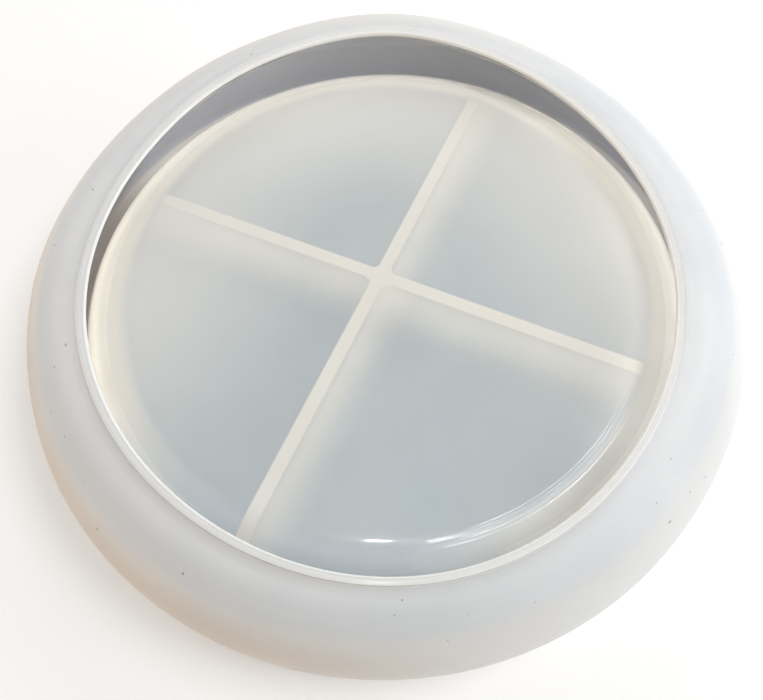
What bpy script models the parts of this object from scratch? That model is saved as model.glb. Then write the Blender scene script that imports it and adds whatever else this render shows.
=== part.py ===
"""Resin casting mould for a round dish with a rolled belly, moulded in milky silicone.

The mould stands on its base with the mouth up, and the dish is cast in it upside down.
Resin fills the groove between the outer shell and the core, then floods the flat platform
on top of the core up to the lip.  The underside of the core is hollow and carries a cross
of two ribs that keep the platform flat.

The real mould is one moulding.  It is divided here into its working regions, each a closed
solid, with a fine gap between neighbours.  Units are metres, +Z is up, and the origin is
the centre of the base.
"""
import math

import bmesh
import bpy

# Driving dimensions of the whole mould
MOUTH_RADIUS = 0.112        # inner edge of the lip
OUTER_RADIUS = 0.145        # widest level of the shell
TOTAL_HEIGHT = 0.048        # table to the top of the lip
WIDEST_HEIGHT = 0.014       # level where the belly turns vertical
SHELL_WALL = 0.004          # lip and outer shell
LIP_STEP = 0.001            # how far the lip stands proud of the shell around it
LIP_LAND = 0.006            # upright band inside the lip, above the undercut
LIP_EDGE_RADIUS = 0.0008
SHELL_SPLIT_ANGLE = 50.0    # where the crown of the shell meets its belly, above the horizontal

# The core that shapes the inside of the dish
PLATFORM_RADIUS = 0.103     # edge of the flat
PLATFORM_DEPTH = 0.0135     # lip down to the flat
PLATFORM_WALL = 0.0045
CORE_RADIUS = 0.126         # outside of the core at the groove
CORE_WALL = 0.005
SHOULDER_BASE_HEIGHT = 0.008   # level where the shoulder turns vertical
SHOULDER_SPLIT_ANGLE = 40.0    # where the shoulder region ends, above the horizontal

# Floor of the groove, base edge and ribs
GROOVE_FLOOR = 0.005
GROOVE_FILLET = 0.0025
BASE_EDGE_RADIUS = 0.0015
RIB_THICKNESS = 0.0055

# Modelling tolerances
REGION_GAP = 0.0003
TURN_STEPS = 72
MERGE_DISTANCE = 0.00005

# Heights and sizes that follow from the dimensions above
SHELL_CROWN = TOTAL_HEIGHT - LIP_STEP
BELLY_REACH = OUTER_RADIUS - MOUTH_RADIUS
BELLY_RISE = SHELL_CROWN - WIDEST_HEIGHT
UNDERCUT_REACH = BELLY_REACH - SHELL_WALL
UNDERCUT_RISE = TOTAL_HEIGHT - LIP_LAND - WIDEST_HEIGHT
PLATFORM_TOP = TOTAL_HEIGHT - PLATFORM_DEPTH
PLATFORM_UNDERSIDE = PLATFORM_TOP - PLATFORM_WALL
SHOULDER_REACH = CORE_RADIUS - PLATFORM_RADIUS
SHOULDER_RISE = PLATFORM_TOP - SHOULDER_BASE_HEIGHT
HOLLOW_REACH = SHOULDER_REACH - CORE_WALL
HOLLOW_RISE = PLATFORM_UNDERSIDE - SHOULDER_BASE_HEIGHT
GROOVE_OUTER_RADIUS = OUTER_RADIUS - SHELL_WALL
HALF_GAP = REGION_GAP / 2

SILICONE_WHITE = (0.80, 0.79, 0.76)
SILICONE_CLEAR = (0.60, 0.64, 0.68)
SILICONE_CREAM = (0.84, 0.81, 0.73)


def clear_scene():
    """Remove every object left in the file."""
    for old in list(bpy.data.objects):
        bpy.data.objects.remove(old, do_unlink=True)


def new_collection(name):
    """Make a collection and link it into the scene."""
    collection = bpy.data.collections.new(name)
    bpy.context.scene.collection.children.link(collection)
    return collection


def silicone(name, colour, roughness):
    """Make a plain Principled material for one region."""
    material = bpy.data.materials.new(name)
    material.use_nodes = True
    shader = material.node_tree.nodes["Principled BSDF"]
    shader.inputs["Base Color"].default_value = (*colour, 1.0)
    shader.inputs["Roughness"].default_value = roughness
    shader.inputs["Metallic"].default_value = 0.0
    return material


def arc(centre, reach, start, end, steps):
    """Points (radius, height) on an elliptical arc, angles in degrees above the horizontal."""
    points = []
    for index in range(steps + 1):
        angle = math.radians(start + (end - start) * index / steps)
        points.append((centre[0] + reach[0] * math.cos(angle), centre[1] + reach[1] * math.sin(angle)))
    return points


def height_on_arc(centre, reach, radius):
    """Height of the upper half of an ellipse at a given radius."""
    share = (radius - centre[0]) / reach[0]
    return centre[1] + reach[1] * math.sqrt(1.0 - share * share)


def angle_on_arc(centre, reach, radius):
    """Angle above the horizontal of the point of an ellipse at a given radius."""
    return math.degrees(math.acos((radius - centre[0]) / reach[0]))


def turned(name, profile, colour, roughness, collection, closed=True):
    """Turn a profile of (radius, height) points about Z; it runs down its outer side."""
    mesh = bpy.data.meshes.new(name)
    outline = bmesh.new()
    points = [outline.verts.new((radius, 0.0, height)) for radius, height in profile]
    for first, second in zip(points, points[1:]):
        outline.edges.new((first, second))
    if closed:
        outline.edges.new((points[-1], points[0]))
    outline.to_mesh(mesh)
    outline.free()
    body = bpy.data.objects.new(name, mesh)
    collection.objects.link(body)
    screw = body.modifiers.new("turn", "SCREW")
    screw.axis = "Z"
    screw.angle = math.tau
    screw.steps = TURN_STEPS
    screw.render_steps = TURN_STEPS
    screw.use_merge_vertices = True
    screw.merge_threshold = MERGE_DISTANCE
    screw.use_smooth_shade = True
    mesh.materials.append(silicone(name, colour, roughness))
    return body


def plate(name, outline, thickness, colour, collection):
    """A flat upright plate from an (across, height) outline, centred on its own thickness."""
    curve = bpy.data.curves.new(name, "CURVE")
    curve.dimensions = "2D"
    curve.fill_mode = "BOTH"
    curve.extrude = thickness / 2
    spline = curve.splines.new("POLY")
    spline.points.add(len(outline) - 1)
    for point, (across, height) in zip(spline.points, outline):
        point.co = (across, height, 0.0, 1.0)
    spline.use_cyclic_u = True
    body = bpy.data.objects.new(name, curve)
    collection.objects.link(body)
    curve.materials.append(silicone(name, colour, 0.45))
    return body


def make_pour_lip(collection):
    """Flat-topped ring around the mouth, with a short upright land inside it."""
    outer = MOUTH_RADIUS + SHELL_WALL
    centre = (MOUTH_RADIUS, WIDEST_HEIGHT)
    inside = (UNDERCUT_REACH, UNDERCUT_RISE)
    edge = LIP_EDGE_RADIUS
    edge_reach = (edge, edge)
    profile = arc((outer - edge, TOTAL_HEIGHT - edge), edge_reach, 90.0, 0.0, 3)
    profile.append((outer, height_on_arc(centre, inside, outer)))
    profile.append((MOUTH_RADIUS, TOTAL_HEIGHT - LIP_LAND))
    profile += arc((MOUTH_RADIUS + edge, TOTAL_HEIGHT - edge), edge_reach, 180.0, 90.0, 3)
    return turned("pour_lip", profile, SILICONE_WHITE, 0.35, collection)


def make_rolled_shell(collection):
    """Rolled part of the shell: a crown around the lip, and a belly down to the widest level."""
    start = MOUTH_RADIUS + SHELL_WALL + REGION_GAP
    centre = (MOUTH_RADIUS, WIDEST_HEIGHT)
    outside = (BELLY_REACH, BELLY_RISE)
    inside = (UNDERCUT_REACH, UNDERCUT_RISE)
    split_gap = math.degrees(HALF_GAP / UNDERCUT_REACH)
    crown_end = SHELL_SPLIT_ANGLE + split_gap
    belly_start = SHELL_SPLIT_ANGLE - split_gap
    crown = arc(centre, outside, angle_on_arc(centre, outside, start), crown_end, 5)
    crown += arc(centre, inside, crown_end, angle_on_arc(centre, inside, start), 4)
    turned("shell_crown", crown, SILICONE_WHITE, 0.5, collection)
    belly = arc(centre, outside, belly_start, 0.0, 5)
    belly += arc(centre, inside, 0.0, belly_start, 4)
    turned("shell_belly", belly, SILICONE_WHITE, 0.5, collection)


def make_shell_skirt(collection):
    """Upright band from the widest level down to the base edge."""
    top = WIDEST_HEIGHT - REGION_GAP
    edge = BASE_EDGE_RADIUS
    profile = [(OUTER_RADIUS, top)]
    profile += arc((OUTER_RADIUS - edge, edge), (edge, edge), 0.0, -90.0, 3)
    profile += [(GROOVE_OUTER_RADIUS, 0.0), (GROOVE_OUTER_RADIUS, top)]
    return turned("shell_skirt", profile, SILICONE_WHITE, 0.5, collection)


def make_groove_floor(collection):
    """Ring that joins the shell to the core and shapes the rim of the dish."""
    outer = GROOVE_OUTER_RADIUS - REGION_GAP
    inner = CORE_RADIUS + REGION_GAP
    fillet = GROOVE_FILLET
    round_corner = (fillet, fillet)
    top = GROOVE_FLOOR + fillet
    profile = [(outer, top), (outer, 0.0), (inner, 0.0), (inner, top)]
    profile += arc((inner + fillet, top), round_corner, -180.0, -90.0, 3)[1:]
    profile += arc((outer - fillet, top), round_corner, -90.0, 0.0, 3)[:-1]
    return turned("groove_floor", profile, SILICONE_WHITE, 0.35, collection)


def make_core_wall(collection):
    """Side of the core, which stands on the base and leans in towards the shoulder."""
    centre = (PLATFORM_RADIUS, SHOULDER_BASE_HEIGHT)
    outside = (SHOULDER_REACH, SHOULDER_RISE)
    inside = (HOLLOW_REACH, HOLLOW_RISE)
    split_gap = math.degrees(HALF_GAP / HOLLOW_REACH)
    top = SHOULDER_SPLIT_ANGLE - split_gap
    profile = arc(centre, outside, top, 0.0, 4)
    profile += [(CORE_RADIUS, 0.0), (CORE_RADIUS - CORE_WALL, 0.0)]
    profile += arc(centre, inside, 0.0, top, 4)
    return turned("core_side_wall", profile, SILICONE_CREAM, 0.25, collection)


def make_core_shoulder(collection):
    """Rounded shoulder between the side of the core and the flat platform."""
    centre = (PLATFORM_RADIUS, SHOULDER_BASE_HEIGHT)
    outside = (SHOULDER_REACH, SHOULDER_RISE)
    inside = (HOLLOW_REACH, HOLLOW_RISE)
    split_gap = math.degrees(HALF_GAP / HOLLOW_REACH)
    start = PLATFORM_RADIUS + HALF_GAP
    bottom = SHOULDER_SPLIT_ANGLE + split_gap
    profile = arc(centre, outside, angle_on_arc(centre, outside, start), bottom, 6)
    profile += arc(centre, inside, bottom, angle_on_arc(centre, inside, start), 6)
    return turned("core_shoulder", profile, SILICONE_CREAM, 0.2, collection)


def make_core_platform(collection):
    """Thin flat disc on top of the core, which shapes the inside bottom of the dish."""
    radius = PLATFORM_RADIUS - HALF_GAP
    profile = [(0.0, PLATFORM_TOP), (radius, PLATFORM_TOP)]
    profile += [(radius, PLATFORM_UNDERSIDE), (0.0, PLATFORM_UNDERSIDE)]
    return turned("core_platform", profile, SILICONE_CLEAR, 0.2, collection, closed=False)


def rib_end(centre_side):
    """Outline of a rib's outer end, from its foot up to its top, for ribs running to +across."""
    reach = (HOLLOW_REACH - REGION_GAP, HOLLOW_RISE - REGION_GAP)
    centre = (PLATFORM_RADIUS, SHOULDER_BASE_HEIGHT)
    outline = [(CORE_RADIUS - CORE_WALL - REGION_GAP, 0.0)]
    outline += arc(centre, reach, 0.0, 90.0, 8)
    return [(centre_side * across, height) for across, height in outline]


def make_ribs(collection):
    """One rib from side to side along Y, and two short ribs that meet it along X."""
    tops = PLATFORM_UNDERSIDE - REGION_GAP
    inner = RIB_THICKNESS / 2 + REGION_GAP
    long_outline = rib_end(1.0) + list(reversed(rib_end(-1.0)))
    short_outline = [(inner, 0.0)] + rib_end(1.0) + [(inner, tops)]
    upright = math.pi / 2
    long_rib = plate("long_rib", long_outline, RIB_THICKNESS, SILICONE_CREAM, collection)
    long_rib.rotation_euler = (upright, 0.0, upright)
    for name, turn in (("short_rib_right", 0.0), ("short_rib_left", math.pi)):
        rib = plate(name, short_outline, RIB_THICKNESS, SILICONE_CREAM, collection)
        rib.rotation_euler = (upright, 0.0, turn)


def main():
    """Build the mould."""
    clear_scene()
    mould = new_collection("resin_casting_mould")
    make_pour_lip(mould)
    make_rolled_shell(mould)
    make_shell_skirt(mould)
    make_groove_floor(mould)
    make_core_wall(mould)
    make_core_shoulder(mould)
    make_core_platform(mould)
    make_ribs(mould)


main()
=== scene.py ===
"""Look of the resin casting mould: one milky silicone moulding on a pale table, in soft light."""
import math

import bmesh
import bpy
import numpy as np
from mathutils import Matrix, Vector


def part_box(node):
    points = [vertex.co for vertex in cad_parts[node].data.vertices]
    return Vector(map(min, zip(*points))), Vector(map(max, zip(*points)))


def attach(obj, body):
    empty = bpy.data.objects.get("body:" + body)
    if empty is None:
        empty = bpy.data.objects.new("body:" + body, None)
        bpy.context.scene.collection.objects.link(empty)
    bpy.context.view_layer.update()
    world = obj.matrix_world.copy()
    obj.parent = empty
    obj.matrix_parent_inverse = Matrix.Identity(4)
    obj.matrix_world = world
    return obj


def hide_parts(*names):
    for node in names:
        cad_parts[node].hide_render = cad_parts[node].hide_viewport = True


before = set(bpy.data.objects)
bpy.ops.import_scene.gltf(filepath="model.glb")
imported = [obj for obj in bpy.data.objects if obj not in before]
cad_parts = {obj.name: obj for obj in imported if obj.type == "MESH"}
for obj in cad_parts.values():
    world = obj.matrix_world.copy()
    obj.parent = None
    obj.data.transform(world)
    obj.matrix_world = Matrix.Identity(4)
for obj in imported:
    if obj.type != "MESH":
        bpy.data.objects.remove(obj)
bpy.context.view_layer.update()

MM = 0.001
TAU = math.tau
# Points nearer than this to each other, or to the axis, count as one
TINY = 1e-7
# Steps round the axis of every turned piece
AROUND = 288

# ---------------------------------------------------------------- sizes, read from the frame
lip_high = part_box("pour_lip")[1]
belly_low, belly_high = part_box("shell_belly")
core_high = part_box("core_side_wall")[1]
platform_low, platform_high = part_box("core_platform")

LIP_TOP = lip_high.z
LIP_OUTER = lip_high.x
LIP_WIDTH = 4.0 * MM
LIP_STEP = 1.0 * MM
LIP_LAND = 6.0 * MM
MOUTH = LIP_OUTER - LIP_WIDTH
WIDEST = belly_high.x
WIDEST_Z = belly_low.z
SHELL_WALL = 4.0 * MM
CROWN_Z = LIP_TOP - LIP_STEP
CREASE_ANGLE = 50.0
CREASE_RADIUS = (131.5 * MM, 134.5 * MM)
BEAD = 1.0 * MM
JOIN_WIDE, JOIN_HIGH = 3.2 * MM, 1.13 * MM

FLAT_TRIM = 3.7 * MM
CORE_SPREAD = 0.9 * MM
PLATFORM_R = platform_high.x - FLAT_TRIM
PLATFORM_Z = platform_high.z
PLATFORM_UNDER = platform_low.z
CORE_R = core_high.x + CORE_SPREAD
CORE_WALL = 5.0 * MM
SHOULDER_BASE = 8.0 * MM
GROOVE_FLOOR = 5.0 * MM
RIB_HALF = 2.75 * MM
RIB_BOTTOM = 0.5 * MM
RIB_FLARE = 2.2 * MM

# The soft wall has been flexed by demoulding: shares of the mouth radius by waves round the axis
GROWN, SHIFT_COS, SHIFT_SIN = 0.0028, -0.0024, 0.0016
OVAL_COS, OVAL_SIN = -0.0149, -0.0258
THREE_COS, THREE_SIN = 0.0072, -0.0050
FOUR_COS, FOUR_SIN = -0.0049, 0.0061
# ... and two local flexures of the lip: how far out, at what angle and over what angle
FLEXURES = ((1.3 * MM, 110.0, 13.0), (-0.7 * MM, 137.0, 12.0))

# The wall of the lip is a little thinner on the near side: shares of its width
WALL_MEAN, WALL_SWING, WALL_THIN_AT = -0.10, -0.22, math.radians(-52.0)
WALL_BLEND = 12.0 * MM

# The crown stands fuller on the far side than on the near side: greatest swelling, and where it fades
SWELL_LEAST, SWELL_MOST, SWELL_AT = 0.3 * MM, 2.2 * MM, math.radians(103.0)
SWELL_FADE = (-0.60, -0.05)

# The core leans a little inside the shell, and the land leans out below the mouth except at the far side
LEAN_X, LEAN_Y = 2.2 * MM, -1.7 * MM
LAND_OUT, LAND_RISE, LAND_UPRIGHT_AT, LAND_UPRIGHT_WIDE = 2.8 * MM, 2.6 * MM, 116.0, 17.0

# The cross of ribs sits a little off the axis, and its two ribs are not quite square to each other
CROSS_X, CROSS_Y = 0.5 * MM, -1.0 * MM
LONG_RIB_TURN, SHORT_RIB_TURN = math.radians(-0.75), math.radians(1.15)

# Sides of the mould, in degrees round the axis from +X: where the painted glow in the core's flat is
# strongest, where the painted light on its cream shoulder is strongest, and where the painted shade in the
# undercut and groove is deepest
GLOW_SIDE, RIM_SIDE, SHADE_SIDE = 120.0, 98.0, 207.0

# Fine turned rings where the flat rolls over into the shoulder
RING_PITCH, RING_HEIGHT = 1.2 * MM, 0.030 * MM

LIGHT_AIM = Vector((0.0, 0.0, 30.0 * MM))


# ---------------------------------------------------------------- geometry helpers
def arc(centre, reach, start, end, steps):
    """Points (radius, height) on an elliptical arc, in degrees above the horizontal."""
    angles = np.radians(np.linspace(start, end, steps + 1))
    return [(centre[0] + reach[0] * math.cos(a), centre[1] + reach[1] * math.sin(a)) for a in angles]


def angle_at(centre, reach, radius):
    """Angle above the horizontal where an elliptical arc has this radius."""
    return math.degrees(math.acos((radius - centre[0]) / reach[0]))


def line(start, end, steps):
    """Evenly spaced points after start, up to and including end."""
    return [tuple(np.array(start) + (np.array(end) - np.array(start)) * i / steps)
            for i in range(1, steps + 1)]


def smooth(value, low, high):
    """0 at low, 1 at high, eased at both ends."""
    share = min(max((value - low) / (high - low), 0.0), 1.0)
    return share * share * (3.0 - 2.0 * share)


def turned(name, profile, on_axis=False):
    """Closed body turned about Z from a ring profile, or from a profile that starts and ends on the axis."""
    bm = bmesh.new()
    rings = []
    for radius, height in profile:
        if radius < TINY:
            rings.append([bm.verts.new((0.0, 0.0, height))])
        else:
            rings.append([bm.verts.new((radius * math.cos(TAU * k / AROUND),
                                        radius * math.sin(TAU * k / AROUND), height))
                          for k in range(AROUND)])
    pairs = list(zip(rings, rings[1:]))
    if not on_axis:
        pairs.append((rings[-1], rings[0]))
    for upper, lower in pairs:
        for k in range(AROUND):
            n = (k + 1) % AROUND
            if len(upper) == 1:
                bm.faces.new((upper[0], lower[k], lower[n]))
            elif len(lower) == 1:
                bm.faces.new((upper[k], lower[0], upper[n]))
            else:
                bm.faces.new((upper[k], lower[k], lower[n], upper[n]))
    bmesh.ops.recalc_face_normals(bm, faces=bm.faces[:])
    mesh = bpy.data.meshes.new(name)
    bm.to_mesh(mesh)
    bm.free()
    for face in mesh.polygons:
        face.use_smooth = True
    piece = bpy.data.objects.new(name, mesh)
    bpy.context.scene.collection.objects.link(piece)
    return piece


def flexed(piece):
    """Push the lip and the belly off round, fully at the lip and not at all at the widest level."""
    for vertex in piece.data.vertices:
        x, y, z = vertex.co
        share = smooth(z, WIDEST_Z, LIP_TOP)
        turn = math.atan2(y, x)
        move = MOUTH * share * (GROWN + SHIFT_COS * math.cos(turn) + SHIFT_SIN * math.sin(turn)
                                + OVAL_COS * math.cos(2 * turn) + OVAL_SIN * math.sin(2 * turn)
                                + THREE_COS * math.cos(3 * turn) + THREE_SIN * math.sin(3 * turn)
                                + FOUR_COS * math.cos(4 * turn) + FOUR_SIN * math.sin(4 * turn))
        for out, at, wide in FLEXURES:
            move += share * out * math.exp(-(((math.degrees(turn) - at) / wide) ** 2))
        radius = math.hypot(x, y)
        wall = min(max((radius - MOUTH) / LIP_WIDTH, 0.0), 1.0)
        wall *= min(max(1.0 - (radius - LIP_OUTER) / WALL_BLEND, 0.0), 1.0)
        move += LIP_WIDTH * share * wall * (WALL_MEAN + WALL_SWING * math.cos(turn - WALL_THIN_AT))
        vertex.co.x += move * math.cos(turn)
        vertex.co.y += move * math.sin(turn)
    piece.data.update()


def undercut_land(piece):
    """Slope the land outwards below the bead and draw its foot up, except at the far side."""
    for vertex in piece.data.vertices:
        x, y, z = vertex.co
        turn = math.atan2(y, x)
        upright = math.exp(-(((math.degrees(turn) - LAND_UPRIGHT_AT) / LAND_UPRIGHT_WIDE) ** 2))
        depth = min(max((LIP_TOP - BEAD - z) / (LIP_LAND - BEAD), 0.0), 1.0)
        inner = min(max(1.0 - (math.hypot(x, y) - MOUTH) / LIP_WIDTH, 0.0), 1.0)
        slack = (1.0 - upright) * depth * inner
        move = LAND_OUT * slack
        vertex.co.z += LAND_RISE * slack
        vertex.co.x += move * math.cos(turn)
        vertex.co.y += move * math.sin(turn)


def leaned(piece, low, high):
    """Lean a piece sideways, fully above one height and not at all below another."""
    for vertex in piece.data.vertices:
        share = smooth(vertex.co.z, low, high)
        vertex.co.x += LEAN_X * share
        vertex.co.y += LEAN_Y * share


def swollen(piece, centre, reach):
    """Make the outside of the crown a little fuller, most on the far side."""
    nearness = 0.03
    for vertex in piece.data.vertices:
        x, y, z = vertex.co
        across = (math.hypot(x, y) - centre[0]) / reach[0]
        up = (z - centre[1]) / reach[1]
        if up > 0.0 and abs(math.hypot(across, up) - 1.0) < nearness:
            turn = math.atan2(y, x)
            side = smooth(math.cos(turn - SWELL_AT), *SWELL_FADE)
            move = 2.0 * across * up * (SWELL_LEAST + (SWELL_MOST - SWELL_LEAST) * side)
            vertex.co.x += move * across * math.cos(turn)
            vertex.co.y += move * across * math.sin(turn)
            vertex.co.z += move * up


def extruded(name, outline, low, high):
    """Closed upright body from a plan outline, counter-clockwise, between two heights."""
    bm = bmesh.new()
    bottom = [bm.verts.new((x, y, low)) for x, y in outline]
    top = [bm.verts.new((x, y, high)) for x, y in outline]
    count = len(outline)
    bm.faces.new(list(reversed(bottom)))
    bm.faces.new(top)
    for k in range(count):
        n = (k + 1) % count
        bm.faces.new((bottom[k], bottom[n], top[n], top[k]))
    mesh = bpy.data.meshes.new(name)
    bm.to_mesh(mesh)
    bm.free()
    piece = bpy.data.objects.new(name, mesh)
    bpy.context.scene.collection.objects.link(piece)
    return piece


# ---------------------------------------------------------------- pieces
def make_lip():
    """Ring round the mouth: a rounded inner bead, a fine line, a flat, and the land inside it."""
    edge = 0.25 * MM
    toe = 0.5 * MM
    line_at, line_half, line_deep = MOUTH + 1.35 * MM, 0.22 * MM, 0.09 * MM
    centre = (MOUTH, WIDEST_Z)
    undercut = (WIDEST - MOUTH - SHELL_WALL, LIP_TOP - LIP_LAND - WIDEST_Z)
    low = WIDEST_Z + undercut[1] * math.sin(math.radians(angle_at(centre, undercut, LIP_OUTER)))
    foot = LIP_TOP - LIP_LAND
    profile = arc((MOUTH + BEAD, LIP_TOP - BEAD), (BEAD, BEAD), 180.0, 90.0, 10)
    profile += [(line_at - line_half, LIP_TOP), (line_at, LIP_TOP - line_deep)]
    profile.append((line_at + line_half, LIP_TOP))
    profile += line(profile[-1], (LIP_OUTER - edge, LIP_TOP), 4)
    profile += arc((LIP_OUTER - edge, LIP_TOP - edge), (edge, edge), 90.0, 0.0, 5)[1:]
    profile += line(profile[-1], (LIP_OUTER, low), 5)
    profile += line(profile[-1], (MOUTH + toe + 0.1 * MM, foot), 3)
    profile += arc((MOUTH + toe, foot + toe), (toe, toe), -90.0, -180.0, 4)
    profile += line(profile[-1], (MOUTH, LIP_TOP - BEAD), 5)[:-1]
    lip = turned("lip_ring", profile)
    across = lip.data.attributes.new("across", "FLOAT", "POINT")
    for vertex, value in zip(lip.data.vertices, across.data):
        value.value = (math.hypot(vertex.co.x, vertex.co.y) - MOUTH) / LIP_WIDTH
    undercut_land(lip)
    flexed(lip)
    return lip


def make_shell():
    """Rolled shell and floor of the groove, with the faint crease between its crown and its belly."""
    inner_wall = WIDEST - SHELL_WALL
    start = LIP_OUTER
    centre = (MOUTH, WIDEST_Z)
    outside = (WIDEST - MOUTH, CROWN_Z - WIDEST_Z)
    inside = (outside[0] - SHELL_WALL, LIP_TOP - LIP_LAND - WIDEST_Z)
    top = angle_at(centre, outside, start + JOIN_WIDE)
    edge, fillet = 1.5 * MM, 2.5 * MM
    crisp_edge = 0.04 * MM
    core_side, chamfer = CORE_R + 0.1 * MM, 0.4 * MM
    shoulder_z = WIDEST_Z + outside[1] * math.sin(math.radians(top))
    profile = [(start, shoulder_z + JOIN_HIGH), (start + crisp_edge, shoulder_z + JOIN_HIGH)]
    profile += line(profile[-1], (start + JOIN_WIDE, shoulder_z), 8)[:-1]
    profile += arc(centre, outside, top, CREASE_ANGLE + 1.0, 26)
    profile += arc(centre, outside, CREASE_ANGLE - 1.0, 0.0, 30)
    profile += line(profile[-1], (WIDEST, edge), 6)
    profile += arc((WIDEST - edge, edge), (edge, edge), 0.0, -90.0, 6)[1:]
    profile += line(profile[-1], (CORE_R + chamfer, 0.0), 8)
    profile.append((core_side, chamfer))
    profile += line(profile[-1], (core_side, GROOVE_FLOOR + fillet), 3)
    profile += arc((CORE_R + fillet, GROOVE_FLOOR + fillet), (fillet, fillet), -180.0, -90.0, 6)[1:]
    profile += line(profile[-1], (inner_wall - fillet, GROOVE_FLOOR), 5)
    profile += arc((inner_wall - fillet, GROOVE_FLOOR + fillet), (fillet, fillet), -90.0, 0.0, 6)[1:]
    profile += line(profile[-1], (inner_wall, WIDEST_Z), 4)
    profile += arc(centre, inside, 0.0, angle_at(centre, inside, start), 36)[1:]
    shell = turned("rolled_shell", profile)
    # 1 at the lip, falling to 0 at the end of the join; it carries the painted highlight along the join
    joined = shell.data.attributes.new("join", "FLOAT", "POINT")
    for vertex, value in zip(shell.data.vertices, joined.data):
        beyond = math.hypot(vertex.co.x, vertex.co.y) - start
        above = vertex.co.z > shoulder_z - 0.1 * MM
        value.value = max(1.0 - beyond / JOIN_WIDE, 0.0) if above else 0.0
    swollen(shell, centre, outside)
    flexed(shell)
    return shell


def make_core():
    """Raised core: side, rounded shoulder and the thin flat on top, hollow underneath."""
    centre = (PLATFORM_R, SHOULDER_BASE)
    outside = (CORE_R - PLATFORM_R, PLATFORM_Z - SHOULDER_BASE)
    inside = (outside[0] - CORE_WALL, PLATFORM_UNDER - SHOULDER_BASE)
    foot = 0.4 * MM
    profile = [(0.0, PLATFORM_Z)] + line((0.0, PLATFORM_Z), (PLATFORM_R, PLATFORM_Z), 24)
    profile += arc(centre, outside, 90.0, 0.0, 48)[1:]
    profile += line(profile[-1], (CORE_R, foot), 5)
    profile += arc((CORE_R - foot, foot), (foot, foot), 0.0, -90.0, 3)[1:]
    profile += line(profile[-1], (CORE_R - CORE_WALL, 0.0), 3)
    profile += line(profile[-1], (CORE_R - CORE_WALL, SHOULDER_BASE), 4)
    profile += arc(centre, inside, 0.0, 90.0, 36)[1:]
    profile += line(profile[-1], (0.0, PLATFORM_UNDER), 20)
    core = turned("raised_core", profile, on_axis=True)
    leaned(core, SHOULDER_BASE, PLATFORM_UNDER)
    return core


def flared_end(end, side):
    """Plan points along one edge of a rib, from its straight part out to a flared end on this side."""
    points = []
    steps = 6
    for k in range(steps + 1):
        a = math.radians(90.0 * k / steps)
        x = end - side * RIB_FLARE * (1.0 - math.sin(a))
        points.append((x, RIB_HALF + RIB_FLARE * (1.0 - math.cos(a))))
    return points


def mirrored_plan(edge):
    """Closed plan outline from its upper edge, left to right, and the same edge mirrored below."""
    return [(x, -y) for x, y in edge] + list(reversed(edge))


def make_ribs():
    """Cross of ribs under the platform: a long one along Y and two short ones along X."""
    reach = CORE_R - CORE_WALL + 1.8 * MM
    top = PLATFORM_UNDER + 2.2 * MM
    outer = flared_end(reach, 1.0)
    opposite = [(-x, y) for x, y in reversed(outer)]
    middle = list(reversed(flared_end(RIB_HALF, -1.0)))
    long_rib = extruded("long_support_rib", mirrored_plan(opposite + outer), RIB_BOTTOM, top)
    long_rib.data.transform(Matrix.Rotation(math.pi / 2, 4, "Z"))
    ribs = [long_rib]
    for name, turn in (("short_support_rib_right", 0.0), ("short_support_rib_left", math.pi)):
        rib = extruded(name, mirrored_plan(middle + outer), RIB_BOTTOM, top)
        rib.data.transform(Matrix.Rotation(turn, 4, "Z"))
        ribs.append(rib)
    for rib, turn in zip(ribs, (LONG_RIB_TURN, SHORT_RIB_TURN, SHORT_RIB_TURN)):
        trim_to_hollow(rib)
        rib.data.transform(Matrix.Translation((CROSS_X, CROSS_Y, 0.0)) @ Matrix.Rotation(turn, 4, "Z"))
    return ribs


def trim_to_hollow(rib):
    """Keep a rib inside the core's wall: lower its top corners to follow the hollow."""
    centre_r, centre_z = PLATFORM_R, SHOULDER_BASE
    reach = (CORE_R - PLATFORM_R - CORE_WALL + 2.0 * MM, PLATFORM_UNDER - SHOULDER_BASE + 1.5 * MM)
    bm = bmesh.new()
    bm.from_mesh(rib.data)
    across = Vector((1, 0, 0)) if "short" in rib.name else Vector((0, 1, 0))
    for side in (-1.0, 1.0):
        for angle in range(8, 90, 6):
            a = math.radians(angle)
            point = across * (side * (centre_r + reach[0] * math.cos(a)))
            point.z = centre_z + reach[1] * math.sin(a)
            normal = across * (side * math.cos(a) / reach[0])
            normal.z = math.sin(a) / reach[1]
            geometry = bm.verts[:] + bm.edges[:] + bm.faces[:]
            cut = bmesh.ops.bisect_plane(bm, geom=geometry, plane_co=point, plane_no=normal,
                                         clear_outer=True, dist=TINY)
            rim = [e for e in cut["geom_cut"] if isinstance(e, bmesh.types.BMEdge)]
            if rim:
                bmesh.ops.holes_fill(bm, edges=rim)
    bmesh.ops.recalc_face_normals(bm, faces=bm.faces[:])
    bm.to_mesh(rib.data)
    bm.free()


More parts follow.
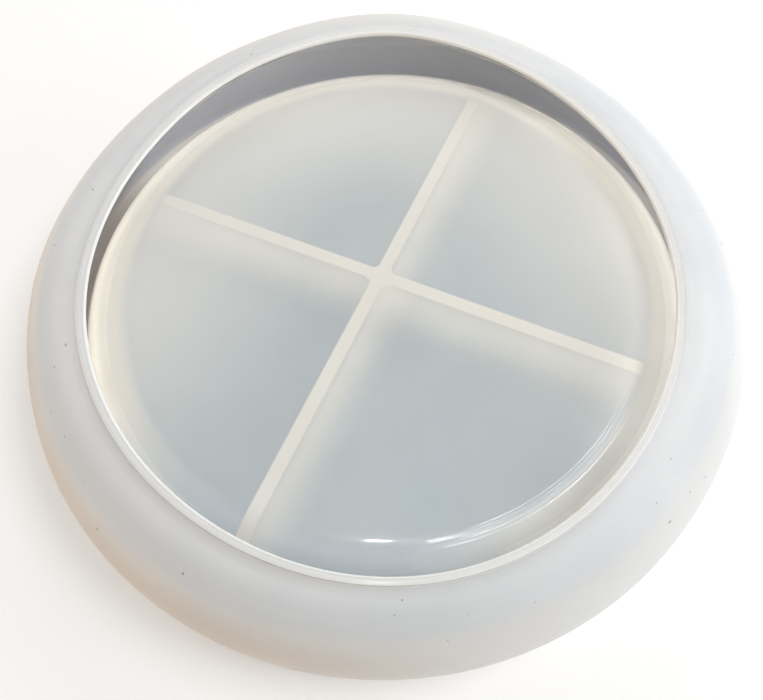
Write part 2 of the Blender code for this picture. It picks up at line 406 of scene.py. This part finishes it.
# ---------------------------------------------------------------- material helpers
class Nodes:
    """Small helper for building a node tree in order."""

    def __init__(self, name):
        self.material = bpy.data.materials.new(name)
        self.material.use_nodes = True
        self.tree = self.material.node_tree
        self.shader = self.tree.nodes["Principled BSDF"]
        self.geometry = self.add("ShaderNodeNewGeometry")
        self.position = self.geometry.outputs["Position"]
        self.split = self.add("ShaderNodeSeparateXYZ")
        self.link(self.position, self.split.inputs[0])

    def add(self, kind, **settings):
        node = self.tree.nodes.new(kind)
        for key, value in settings.items():
            setattr(node, key, value)
        return node

    def link(self, source, target):
        self.tree.links.new(source, target)

    def feed(self, value, socket):
        """Set a socket to a constant, or link another node's output to it."""
        if isinstance(value, (int, float)):
            socket.default_value = value
        elif isinstance(value, tuple):
            socket.default_value = (*value, 1.0) if len(socket.default_value) == 4 else value
        else:
            self.link(value, socket)

    def math(self, operation, first, second=0.0):
        node = self.add("ShaderNodeMath", operation=operation)
        self.feed(first, node.inputs[0])
        self.feed(second, node.inputs[1])
        return node.outputs[0]

    def times(self, *values):
        """Product of several values."""
        product = values[0]
        for value in values[1:]:
            product = self.math("MULTIPLY", product, value)
        return product

    def rest(self, value):
        """What is left of 1."""
        return self.math("SUBTRACT", 1.0, value)

    def ramp(self, value, low, high):
        """0 at low, 1 at high, eased at both ends."""
        return self.remap(value, low, high, 0.0, 1.0)

    def remap(self, value, low, high, to_low, to_high, smooth=True):
        """to_low at low, to_high at high, and held there beyond."""
        node = self.add("ShaderNodeMapRange")
        node.interpolation_type = "SMOOTHSTEP" if smooth else "LINEAR"
        self.feed(value, node.inputs["Value"])
        node.inputs["From Min"].default_value = low
        node.inputs["From Max"].default_value = high
        node.inputs["To Min"].default_value = to_low
        node.inputs["To Max"].default_value = to_high
        return node.outputs["Result"]

    def mix(self, share, first, second):
        """First colour at 0, second colour at 1."""
        node = self.add("ShaderNodeMix", data_type="RGBA")
        self.feed(share, node.inputs["Factor"])
        self.feed(first, node.inputs["A"])
        self.feed(second, node.inputs["B"])
        return node.outputs["Result"]

    def noise(self, scale, detail=2.0, rough=0.5, vector=None):
        """Cloudy pattern by position, or by other coordinates."""
        node = self.add("ShaderNodeTexNoise")
        node.inputs["Scale"].default_value = scale
        node.inputs["Detail"].default_value = detail
        node.inputs["Roughness"].default_value = rough
        self.link(vector if vector is not None else self.position, node.inputs["Vector"])
        return node.outputs["Fac"]

    def radius(self, centre_x=0.0, centre_y=0.0):
        """Distance in plan from the turning axis, or from an upright line beside it."""
        x = self.math("SUBTRACT", self.split.outputs[0], centre_x)
        y = self.math("SUBTRACT", self.split.outputs[1], centre_y)
        return self.math("SQRT", self.math("ADD", self.times(x, x), self.times(y, y)))

    def facing_axis(self):
        """1 where the surface faces the turning axis, -1 where it faces away from it."""
        flat = self.add("ShaderNodeCombineXYZ")
        self.link(self.split.outputs[0], flat.inputs[0])
        self.link(self.split.outputs[1], flat.inputs[1])
        unit = self.add("ShaderNodeVectorMath", operation="NORMALIZE")
        self.link(flat.outputs[0], unit.inputs[0])
        dot = self.add("ShaderNodeVectorMath", operation="DOT_PRODUCT")
        self.link(unit.outputs["Vector"], dot.inputs[0])
        self.link(self.geometry.outputs["Normal"], dot.inputs[1])
        return self.times(dot.outputs["Value"], -1.0)

    def toward(self, azimuth):
        """1 on this side of the axis, -1 on the opposite side, by direction only."""
        a = math.radians(azimuth)
        along = self.math("ADD", self.times(self.split.outputs[0], math.cos(a)),
                          self.times(self.split.outputs[1], math.sin(a)))
        return self.math("DIVIDE", along, self.math("MAXIMUM", self.radius(), 0.1 * MM))

    def turned_coordinates(self, along, waviness):
        """Coordinates for marks that run round the axis: tight across them, stretched along them."""
        joined = self.add("ShaderNodeCombineXYZ")
        self.link(along, joined.inputs[0])
        self.link(self.times(self.split.outputs[0], waviness), joined.inputs[1])
        self.link(self.times(self.split.outputs[1], waviness), joined.inputs[2])
        return joined.outputs[0]

    def bump(self, height, distance, strength=1.0, after=None):
        """Normal of a small relief, on top of another bump where there is one."""
        node = self.add("ShaderNodeBump")
        node.inputs["Strength"].default_value = strength
        node.inputs["Distance"].default_value = distance
        self.link(height, node.inputs["Height"])
        if after is not None:
            self.link(after, node.inputs["Normal"])
        return node.outputs["Normal"]

    def set(self, **values):
        """Set the shader's own sockets, by name with _ for a space."""
        for key, value in values.items():
            self.feed(value, self.shader.inputs[key.replace("_", " ")])


def lip_material():
    """Milky band with painted highlights on the bead and the outer line, painted shade on its near side and
    in two fine lines, and painted shade on the land under the bead.
    """
    n = Nodes("lip_milky")
    mottle = n.noise(60.0, 3.0, 0.55)
    across = n.add("ShaderNodeAttribute", attribute_name="across").outputs["Fac"]
    height = n.split.outputs[2]
    above_land = n.math("MAXIMUM", n.ramp(height, LIP_TOP - 1.7 * MM, LIP_TOP - 1.1 * MM),
                        n.ramp(across, 0.7, 0.8))
    # painted shade: the band turns greyer on the near side, away from 70 degrees
    far = n.ramp(n.toward(70.0), -0.7, 0.5)
    band = n.mix(n.ramp(mottle, 0.3, 0.7), (0.84, 0.84, 0.82), (0.88, 0.875, 0.855))
    band = n.mix(n.times(n.rest(far), 0.45), band, (0.76, 0.765, 0.765))
    # painted highlight: a bright line on the rounded inner bead, wider on the far side, and one on the outer
    # edge
    bead = n.math("MAXIMUM", n.ramp(across, 0.20, 0.08), n.times(far, n.ramp(across, 0.50, 0.20)))
    edge = n.ramp(across, 0.86, 0.95)
    # painted shade: two thin darker lines across the band, one of them in the fine line cut in the lip
    inner_groove = n.times(n.ramp(across, 0.28, 0.33), n.ramp(across, 0.41, 0.36))
    outer_groove = n.times(n.ramp(across, 0.74, 0.79), n.ramp(across, 0.87, 0.82))
    top = n.mix(n.times(n.math("MAXIMUM", inner_groove, outer_groove), 0.45), band, (0.68, 0.69, 0.70))
    # mix in the painted highlights of the bead and the outer edge
    top = n.mix(n.math("MAXIMUM", n.times(bead, 0.85), n.times(edge, 0.75)), top, (0.985, 0.965, 0.925))
    # painted shade: the land under the bead is grey, darkest on the left
    left = n.ramp(n.toward(200.0), 0.2, 0.9)
    land = n.mix(left, (0.43, 0.45, 0.49), (0.25, 0.25, 0.255))
    n.set(Base_Color=n.mix(above_land, land, top))
    n.set(Roughness=n.remap(n.noise(900.0, 2.0), 0.3, 0.7, 0.26, 0.40))
    n.set(Subsurface_Weight=0.3, Subsurface_Scale=0.002, IOR=1.41, Coat_Weight=0.2, Coat_Roughness=0.12)
    n.shader.inputs["Subsurface Radius"].default_value = (1.0, 0.95, 0.9)
    waves = n.bump(n.noise(90.0, 2.0), 0.3 * MM, 0.2)
    n.set(Normal=n.bump(n.noise(2600.0, 2.0), 0.03 * MM, 0.5, after=waves))
    return n.material


def shell_material():
    """Milky shell with marks of turning and dark specks, painted warm light by side and height, painted
    shade in a band round the waist and inside the undercut, and a painted highlight along the join with the
    lip.
    """
    n = Nodes("shell_milky")
    radius = n.radius()
    height = n.split.outputs[2]
    along = n.math("SUBTRACT", radius, height)
    marks = n.noise(1400.0, 3.0, 0.6, vector=n.turned_coordinates(along, 0.012))
    broad = n.noise(300.0, 2.0, 0.5, vector=n.turned_coordinates(along, 0.02))
    mottle = n.noise(38.0, 3.0, 0.55)

    base = n.mix(n.ramp(mottle, 0.3, 0.7), (0.755, 0.772, 0.79), (0.795, 0.807, 0.82))
    # painted shade: a darker, bluish band round the waist, lifted by painted light on the near right
    bright_near = n.times(n.ramp(n.toward(-32.0), 0.90, 0.99), 0.9)
    waist = n.times(n.ramp(radius, 120.0 * MM, 127.0 * MM), n.ramp(radius, 139.0 * MM, 131.0 * MM))
    base = n.mix(n.times(waist, n.rest(bright_near), 0.55), base, (0.67, 0.70, 0.72))
    # painted warm light: warmer, lighter tints on the left, below the crease, on the near left and on the
    # far side
    warm_left = n.times(n.ramp(radius, 130.0 * MM, 138.0 * MM), n.ramp(n.toward(196.0), 0.90, 0.99))
    base = n.mix(n.times(warm_left, 0.6), base, (0.93, 0.87, 0.78))
    base = n.mix(n.times(n.ramp(radius, *CREASE_RADIUS), 0.35), base, (0.82, 0.79, 0.74))
    peach_near = n.times(n.ramp(radius, 132.0 * MM, 142.0 * MM), n.ramp(n.toward(232.0), 0.1, 0.85))
    base = n.mix(n.times(peach_near, 0.5), base, (0.66, 0.54, 0.42))
    warm_far = n.times(n.ramp(radius, 118.0 * MM, 134.0 * MM), n.ramp(n.toward(125.0), 0.35, 0.85))
    base = n.mix(n.times(warm_far, 0.5), base, (0.86, 0.81, 0.74))
    # painted highlight: a bright line along the join with the lip
    join = n.add("ShaderNodeAttribute", attribute_name="join").outputs["Fac"]
    base = n.mix(n.times(n.ramp(join, 0.76, 0.92), 0.9), base, (0.985, 0.98, 0.96))

    inner = n.ramp(n.facing_axis(), 0.0, 0.5)
    specks = n.times(n.ramp(n.noise(330.0, 1.0, 0.4), 0.785, 0.80), n.rest(inner))
    base = n.mix(n.times(specks, 0.55), base, (0.30, 0.26, 0.21))
    # painted shade: grey where the surface faces the axis, inside the undercut
    base = n.mix(inner, base, (0.56, 0.58, 0.63))
    # painted shade, deepest on one side: darker still on the inner wall and the groove floor there
    groove_floor = n.times(n.ramp(height, 9.0 * MM, 6.0 * MM), n.ramp(radius, 141.8 * MM, 140.5 * MM))
    dark = n.times(n.math("MAXIMUM", inner, groove_floor), n.ramp(n.toward(SHADE_SIDE), 0.78, 0.94))
    base = n.mix(dark, base, (0.42, 0.40, 0.38))

    n.set(Base_Color=base, Roughness=n.remap(marks, 0.3, 0.7, 0.42, 0.58))
    n.set(Subsurface_Weight=0.5, Subsurface_Scale=0.006, IOR=1.41)
    n.shader.inputs["Subsurface Radius"].default_value = (1.0, 0.97, 0.94)
    relief = n.times(n.math("ADD", marks, n.times(broad, 0.8)), n.remap(radius, *CREASE_RADIUS, 0.25, 1.0))
    n.set(Normal=n.bump(n.noise(26.0, 2.0), 1.2 * MM, 0.3, after=n.bump(relief, 0.12 * MM, 0.8)))
    return n.material


def rib_marks(n):
    """1 over the ribs, crisp on one side of each; on the other side a painted glow of the rib's lit side,
    seen through the flat, that fades away.
    """
    x = n.math("SUBTRACT", n.split.outputs[0], CROSS_X)
    y = n.math("SUBTRACT", n.split.outputs[1], CROSS_Y)
    across_long = n.math("ADD", x, n.times(y, math.tan(LONG_RIB_TURN)))
    across_short = n.math("SUBTRACT", y, n.times(x, math.tan(SHORT_RIB_TURN)))
    crisp_edge, soft_edge = 0.45 * MM, 1.0 * MM
    glow_start, glow_share = 2.0 * MM, 0.62
    corner, corner_edge = 2.4 * MM, 0.3 * MM
    bands, side_glows = [], []
    for across, crisp, glow_reach in ((across_long, -1.0, 20.0 * MM), (across_short, 1.0, 26.0 * MM)):
        signed = n.times(across, crisp)
        away = n.times(signed, -1.0)
        sharp = n.remap(signed, RIB_HALF - crisp_edge, RIB_HALF + crisp_edge, 1.0, 0.0)
        soft = n.remap(away, RIB_HALF - soft_edge, RIB_HALF + soft_edge, 1.0, 0.0)
        bands.append(n.times(sharp, soft))
        # painted glow of the rib's lit side seen through the flat, fading away from the rib
        side_glows.append(n.times(sharp, n.remap(away, glow_start, glow_reach, glow_share, 0.0)))
    cross = n.math("MAXIMUM", bands[0], bands[1])
    far_x = n.math("SUBTRACT", n.math("ABSOLUTE", across_long), RIB_HALF + corner)
    far_y = n.math("SUBTRACT", n.math("ABSOLUTE", across_short), RIB_HALF + corner)
    inside = n.times(n.math("LESS_THAN", far_x, 0.0), n.math("LESS_THAN", far_y, 0.0))
    reach = n.math("SQRT", n.math("ADD", n.times(far_x, far_x), n.times(far_y, far_y)))
    fillet = n.times(inside, n.ramp(reach, corner - corner_edge, corner + corner_edge))
    both = n.math("SUBTRACT", n.math("ADD", side_glows[0], side_glows[1]), n.times(side_glows[0], side_glows[1]))
    return n.math("MAXIMUM", cross, fillet), both


def core_material():
    """Clear cool flat with a painted glow that grows towards its edge, a cream shoulder with painted light
    on most sides, painted shade low on one side, and the ribs seen through it.
    """
    n = Nodes("core_translucent")
    radius = n.radius()
    leaned_radius = n.radius(LEAN_X, LEAN_Y)
    height = n.split.outputs[2]
    upper = n.ramp(height, PLATFORM_UNDER + 1.0 * MM, PLATFORM_UNDER + 2.5 * MM)
    thin = n.ramp(leaned_radius, PLATFORM_R + 8.0 * MM, PLATFORM_R)
    # painted glow: the flat grows lighter and creamier towards its edge, most on one side, as light through
    # its wall would make it
    glow = n.times(n.remap(radius, 32.0 * MM, 104.0 * MM, 0.15, 1.0, smooth=False),
                   n.ramp(n.toward(GLOW_SIDE), -1.0, 0.15))
    # the shoulder is cream partly from its thicker silicone and partly as painted light, which fades out on
    # one side and is weaker towards 5 degrees
    whole_rim = n.times(n.ramp(leaned_radius, PLATFORM_R + 1.5 * MM, PLATFORM_R + 7.0 * MM),
                        n.ramp(n.toward(RIM_SIDE), -1.0, -0.6))
    rim = n.times(whole_rim, n.remap(n.toward(185.0), -1.0, -0.5, 0.6, 1.0))
    low_wall = n.ramp(height, 26.0 * MM, 18.0 * MM)
    # painted shade: the low wall of the core turns dark on one side
    dark = n.times(n.ramp(height, 26.0 * MM, 24.0 * MM), n.ramp(n.toward(SHADE_SIDE), 0.70, 0.88))
    cross, side_glow = rib_marks(n)
    ribs = n.times(n.math("MAXIMUM", cross, side_glow), n.ramp(radius, 121.0 * MM, 116.0 * MM), n.rest(whole_rim))
    clear_share = n.rest(n.math("MAXIMUM", n.math("MAXIMUM", rim, low_wall), ribs))

    mottle = n.noise(24.0, 3.0, 0.5)
    clear = n.mix(n.ramp(mottle, 0.35, 0.65), (0.64, 0.70, 0.735), (0.67, 0.725, 0.755))
    # mix the painted glow into the clear flat
    clear = n.mix(n.times(glow, 0.9), clear, (0.93, 0.915, 0.88))
    cream = n.mix(n.ramp(mottle, 0.35, 0.65), (0.905, 0.875, 0.80), (0.925, 0.90, 0.83))
    # painted light brightens the cream on the shoulder
    cream = n.mix(n.times(rim, 0.8), cream, (0.96, 0.925, 0.85))
    n.set(Base_Color=n.mix(dark, n.mix(clear_share, cream, clear), (0.42, 0.39, 0.365)))
    top_pass = n.times(n.remap(n.times(clear_share, thin), 0.0, 1.0, 0.06, 0.45, smooth=False),
                       n.remap(glow, 0.0, 1.0, 1.0, 0.55))
    under_pass = n.remap(leaned_radius, PLATFORM_R + 11.0 * MM, PLATFORM_R + 3.0 * MM, 0.15, 0.9)
    n.set(Transmission_Weight=n.math("ADD", n.times(upper, top_pass), n.times(n.rest(upper), under_pass)))
    n.set(Roughness=n.remap(height, PLATFORM_UNDER, PLATFORM_Z, 0.34, 0.22))
    n.set(Subsurface_Weight=0.3, Subsurface_Scale=0.006, IOR=1.41)
    n.set(Coat_Weight=1.0, Coat_Roughness=0.05, Coat_IOR=1.41)
    n.shader.inputs["Subsurface Radius"].default_value = (0.95, 0.97, 1.0)

    rings = n.math("SINE", n.times(leaned_radius, TAU / RING_PITCH))
    ringed = n.times(n.ramp(leaned_radius, PLATFORM_R + 0.8 * MM, PLATFORM_R + 1.8 * MM),
                     n.ramp(leaned_radius, PLATFORM_R + 6.5 * MM, PLATFORM_R + 4.5 * MM),
                     n.ramp(n.toward(10.0), 0.35, 0.75))
    uneven = n.bump(n.noise(14.0, 2.0), 0.4 * MM, 0.2)
    ripple = n.bump(n.times(rings, ringed), RING_HEIGHT, 1.0, after=uneven)
    n.link(ripple, n.shader.inputs["Coat Normal"])
    n.set(Normal=n.bump(n.noise(700.0, 2.0), 0.02 * MM, 0.25, after=ripple))
    return n.material


def rib_material():
    """Cream silicone with faint streaks."""
    n = Nodes("rib_cream")
    streaks = n.noise(55.0, 3.0, 0.6)
    n.set(Base_Color=n.mix(n.ramp(streaks, 0.3, 0.7), (0.92, 0.895, 0.82), (0.95, 0.93, 0.87)),
          Roughness=n.remap(n.noise(400.0, 2.0), 0.3, 0.7, 0.35, 0.5))
    n.set(Subsurface_Weight=0.5, Subsurface_Scale=0.004, IOR=1.41)
    n.set(Normal=n.bump(n.noise(160.0, 2.0), 0.2 * MM, 0.4))
    return n.material


def table_material():
    """Nearly white, slightly uneven worktop."""
    n = Nodes("pale_table")
    n.set(Base_Color=n.mix(n.noise(9.0, 3.0), (0.93, 0.93, 0.93), (0.95, 0.95, 0.95)), Roughness=0.75)
    n.set(Emission_Color=(1.0, 1.0, 1.0), Emission_Strength=0.16)
    return n.material


# ---------------------------------------------------------------- light and camera
def sheen_only(lamp):
    """Let a lamp show only as a reflection."""
    lamp.visible_diffuse = False
    lamp.visible_transmission = False


def area_light(name, azimuth, elevation, distance, size, level, colour=(1.0, 1.0, 1.0)):
    """Soft light at this azimuth and elevation, in degrees; level is what it gives a card that faces it."""
    az, el = math.radians(azimuth), math.radians(elevation)
    toward = Vector((math.cos(el) * math.cos(az), math.cos(el) * math.sin(az), math.sin(el)))
    data = bpy.data.lights.new(name, "AREA")
    data.shape = "RECTANGLE"
    data.size, data.size_y = size
    data.energy = level * math.pi ** 2 * distance ** 2
    data.color = colour
    lamp = bpy.data.objects.new(name, data)
    bpy.context.scene.collection.objects.link(lamp)
    lamp.location = LIGHT_AIM + toward * distance
    lamp.rotation_euler = toward.to_track_quat("Z", "Y").to_euler()
    return lamp


def hidden_light(name, place, toward, along, size, power, colour=(1.0, 0.96, 0.90)):
    """Light inside the mould, for what milky silicone lets through its walls; never seen itself."""
    data = bpy.data.lights.new(name, "AREA")
    data.shape = "RECTANGLE"
    data.size, data.size_y = size
    data.energy = power
    data.color = colour
    lamp = bpy.data.objects.new(name, data)
    bpy.context.scene.collection.objects.link(lamp)
    back = -Vector(toward).normalized()
    side = Vector(along).normalized()
    turn = Matrix((side, back.cross(side), back)).transposed().to_4x4()
    lamp.matrix_world = Matrix.Translation(place) @ turn
    lamp.visible_camera = False
    lamp.visible_glossy = False
    lamp.visible_transmission = False


def light_world():
    """Cool white surroundings that turn dim and warm towards the near left."""
    world = bpy.data.worlds.new("studio")
    bpy.context.scene.world = world
    world.use_nodes = True
    tree = world.node_tree
    background = tree.nodes["Background"]
    background.inputs["Strength"].default_value = 0.56
    place = tree.nodes.new("ShaderNodeTexCoord")
    toward = tree.nodes.new("ShaderNodeVectorMath")
    toward.operation = "DOT_PRODUCT"
    toward.inputs[1].default_value = (-0.50, -0.87, 0.0)
    share = tree.nodes.new("ShaderNodeMapRange")
    share.interpolation_type = "SMOOTHSTEP"
    share.inputs["From Min"].default_value = 0.0
    share.inputs["From Max"].default_value = 0.95
    tint = tree.nodes.new("ShaderNodeMix")
    tint.data_type = "RGBA"
    tint.inputs["A"].default_value = (0.96, 0.985, 1.0, 1.0)
    tint.inputs["B"].default_value = (0.58, 0.48, 0.38, 1.0)
    tree.links.new(place.outputs["Generated"], toward.inputs[0])
    tree.links.new(toward.outputs["Value"], share.inputs["Value"])
    tree.links.new(share.outputs["Result"], tint.inputs["Factor"])
    tree.links.new(tint.outputs["Result"], background.inputs["Color"])


def light_room():
    """Soft lights round the mould, a fill from each side, and lamps that only show as reflections."""
    area_light("key_right", 30.0, 55.0, 1.4, (0.7, 0.5), 0.33).visible_glossy = False
    area_light("side_right", 25.0, 17.0, 1.4, (0.9, 0.35), 0.22)
    area_light("back_soft", 110.0, 24.0, 1.6, (1.0, 0.4), 0.15)
    area_light("left_soft", 185.0, 20.0, 1.5, (0.8, 0.4), 0.12, (1.0, 0.95, 0.88))
    area_light("warm_left", 232.0, 6.0, 1.2, (0.9, 0.25), 0.13, (1.0, 0.70, 0.43))
    sheen_only(area_light("sheen_right", 30.0, 37.0, 1.4, (0.7, 0.5), 0.45, (1.0, 0.97, 0.90)))
    ceiling = 1.0
    spot = area_light("ceiling_spot", 270.0, 86.3, ceiling, (0.06, 0.06), 0.04, (1.0, 0.97, 0.92))
    spot.data.shape = "DISK"
    sheen_only(spot)
    middle_x, middle_y, strip_turn = 0.40, 0.17, math.radians(50.0)
    for k, (offset, level) in enumerate(((-0.02, 0.17), (0.14, 0.13))):
        lamp = area_light("ceiling_strip_%d" % k, 0.0, 90.0, ceiling, (0.75, 0.045), level)
        lamp.location = (middle_x + offset * math.sin(strip_turn),
                         middle_y - offset * math.cos(strip_turn), ceiling)
        lamp.rotation_euler = (0.0, 0.0, strip_turn)
        sheen_only(lamp)


def outward_at(turn):
    """Level direction from the axis at this angle, and the level direction along the wall there."""
    return Vector((math.cos(turn), math.sin(turn), 0.0)), (-math.sin(turn), math.cos(turn), 0.0)


def light_inside():
    """Light that comes through the walls: a ring in the undercut, an arc over the shoulder, four below."""
    up = Vector((0.0, 0.0, 1.0))
    count, radius, height, power = 24, MOUTH + 11.0 * MM, LIP_TOP - 11.5 * MM, 0.034
    size = (TAU * radius / count, 5.0 * MM)
    # where the ring is brighter or dimmer, in degrees: at this angle, over this width, by this share
    changes = ((-75.0, 30.0, -0.75), (45.0, 38.0, 0.6), (172.0, 60.0, 1.3))
    for k in range(count):
        turn = TAU * (k + 0.5) / count
        outward, along = outward_at(turn)
        share = 1.0
        for at, width, more in changes:
            off = (math.degrees(turn) - at + 180.0) % 360.0 - 180.0
            share += more * math.exp(-(off / width) ** 2)
        hidden_light("wall_glow_%02d" % k, outward * radius + up * height, -outward * 0.45 - up, along,
                     size, share * power / count)

    count, start, step, power = 8, -12.0, 12.0, 0.00042
    radius, height, size = MOUTH - 6.0 * MM, LIP_TOP - 3.0 * MM, (22.0 * MM, 10.0 * MM)
    for k in range(count):
        outward, along = outward_at(math.radians(start + step * k))
        hidden_light("rim_glow_%d" % k, outward * radius + up * height, outward * 0.15 - up, along,
                     size, power)

    count, radius, height, size, power = 4, 75.0 * MM, 1.0 * MM, (85.0 * MM, 85.0 * MM), 0.02
    for k in range(count):
        outward, _ = outward_at(TAU * (k + 0.5) / count)
        hidden_light("hollow_glow_%d" % k, outward * radius + up * height, up, (1.0, 0.0, 0.0),
                     size, power, (1.0, 0.95, 0.87))


def place_camera():
    """Hand-held close-up from the front, a little to the right and above."""
    aim = Vector((16.6, -35.72, 48.0)) * MM
    azimuth, elevation, distance = math.radians(26.545), math.radians(65.745), 226.04 * MM
    tilt = math.radians(-2.712)
    place = aim + distance * Vector((math.cos(elevation) * math.sin(azimuth),
                                     -math.cos(elevation) * math.cos(azimuth), math.sin(elevation)))
    forward = (aim - place).normalized()
    level = forward.cross(Vector((0, 0, 1))).normalized()
    upright = level.cross(forward)
    right = math.cos(tilt) * level + math.sin(tilt) * upright
    up = right.cross(forward)
    data = bpy.data.cameras.new("camera")
    data.sensor_width = 36.0
    data.lens = 30.15
    data.clip_start = 0.01
    camera = bpy.data.objects.new("camera", data)
    bpy.context.scene.collection.objects.link(camera)
    turn = Matrix((right, up, -forward)).transposed().to_4x4()
    camera.matrix_world = Matrix.Translation(place) @ turn
    bpy.context.scene.camera = camera


def make_table():
    """Plain pale floor just under the mould."""
    bm = bmesh.new()
    half = 3.0
    plan = ((-half, -half), (half, -half), (half, half), (-half, half))
    bm.faces.new([bm.verts.new((x, y, -0.05 * MM)) for x, y in plan])
    mesh = bpy.data.meshes.new("table")
    bm.to_mesh(mesh)
    bm.free()
    table = bpy.data.objects.new("table", mesh)
    bpy.context.scene.collection.objects.link(table)
    mesh.materials.append(table_material())


# ---------------------------------------------------------------- assembly
def mount(piece, material, slot, *nodes):
    piece.data.materials.append(material)
    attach(piece, "root")
    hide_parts(*nodes)


mount(make_lip(), lip_material(), "lip_silicone", "pour_lip")
mount(make_shell(), shell_material(), "shell_silicone", "shell_crown", "shell_belly", "shell_skirt",
      "groove_floor")
mount(make_core(), core_material(), "platform_silicone", "core_platform", "core_shoulder", "core_side_wall")
rib_look = rib_material()
for rib, node in zip(make_ribs(), ("long_rib", "short_rib_right", "short_rib_left")):
    mount(rib, rib_look, "rib_silicone", node)

make_table()
light_world()
light_room()
light_inside()
place_camera()
bpy.context.scene.view_settings.view_transform = "Standard"
